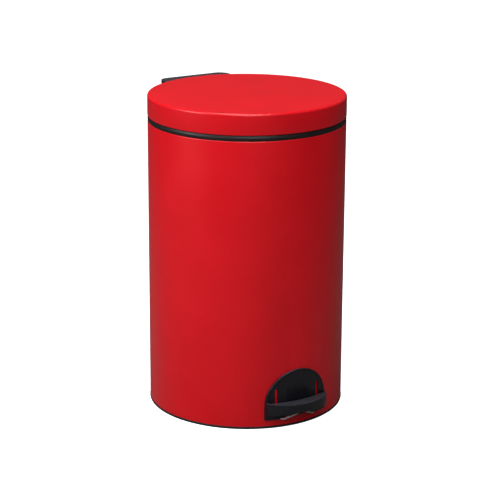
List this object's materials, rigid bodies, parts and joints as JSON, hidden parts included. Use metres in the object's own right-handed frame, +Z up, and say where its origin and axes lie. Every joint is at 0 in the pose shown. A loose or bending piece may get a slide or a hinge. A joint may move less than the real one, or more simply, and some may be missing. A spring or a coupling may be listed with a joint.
{
  "type": "pedal bin",
  "caption": "Round pedal bin: steel shell with a hinged lid that a foot pedal opens through a lever and lift rod, and a lift-out bucket inside.",
  "frame": {"origin": "on the floor, at the centre of the round body", "axes": "+Z up; the pedal faces -Y and the lid's hinge is at +Y; +X is across, along both hinge axes"},
  "size_m": [0.2508, 0.2912, 0.4028],
  "materials": {
    "red_powder_coat": "semi-gloss red powder coat",
    "black_rim_plastic": "satin black moulded polypropylene",
    "black_trim_plastic": "satin black moulded ABS",
    "black_rubber": "matt black rubber",
    "black_painted_steel": "satin black painted steel",
    "zinc_hardware": "bright zinc plate",
    "galvanised_sheet": "galvanised sheet steel",
    "bright_wire": "bright drawn steel wire"
  },
  "bodies": {
    "can": {"outer_shell": "red_powder_coat", "top_rim": "black_rim_plastic", "base_pan": "black_rim_plastic", "floor_ring": "black_rubber", "pedal_bezel": "black_trim_plastic", "bezel_screws": "zinc_hardware", "hinge_bracket": "black_painted_steel", "bracket_rivets": "zinc_hardware", "hinge_pin": "zinc_hardware", "hinge_pin_clips": "zinc_hardware", "rod_guide": "black_trim_plastic", "guide_rivet": "zinc_hardware", "pivot_bracket": "galvanised_sheet", "pivot_rivets": "zinc_hardware", "pivot_pin": "zinc_hardware", "pivot_pin_clips": "zinc_hardware", "lever_stop": "black_rubber", "pedal_spring": "bright_wire"},
    "lid": {"lid_shell": "red_powder_coat", "lid_inner_ring": "black_rim_plastic", "lid_bumpers": "black_rubber", "lid_hinge_arm": "black_painted_steel", "lid_arm_rivets": "zinc_hardware", "lid_hinge_cover": "black_trim_plastic", "cover_screws": "zinc_hardware"},
    "pedal": {"pedal_pad": "black_trim_plastic", "pedal_lever": "galvanised_sheet", "pedal_screws": "zinc_hardware"},
    "lift_rod": {"lift_rod": "bright_wire", "rod_clips": "zinc_hardware"},
    "bucket": {"bucket": "galvanised_sheet", "bucket_ears": "galvanised_sheet", "ear_rivets": "zinc_hardware"},
    "handle": {"bucket_handle": "bright_wire", "handle_grip": "black_trim_plastic"}
  },
  "joints": [
    {"name": "lid_hinge", "type": "hinge", "parent": "can", "child": "lid", "pos_m": [0, 0.132, 0.384], "axis": [-1, 0, 0], "range_deg": [0, 85]},
    {"name": "pedal_hinge", "type": "hinge", "parent": "can", "child": "pedal", "pos_m": [0, -0.038, 0.024], "axis": [1, 0, 0], "range_deg": [0, 7.39], "deforming": ["pedal_spring"]},
    {"name": "rod_slide", "type": "slide", "parent": "can", "child": "lift_rod", "axis": [0, 0, 1], "range_m": [0, 0.02028]},
    {"name": "bucket_lift", "type": "slide", "parent": "can", "child": "bucket", "axis": [0, 0, 1], "range_m": [0, 0.005]},
    {"name": "bail_hinge", "type": "hinge", "parent": "bucket", "child": "handle", "pos_m": [0, 0, 0.381], "axis": [-1, 0, 0], "range_deg": [0, 3]}
  ],
  "couplings": [
    {"joint": "pedal_hinge", "follows": "lid_hinge", "ratio": 0.086897},
    {"joint": "rod_slide", "follows": "lid_hinge", "m_per_rad": 0.013662}
  ]
}
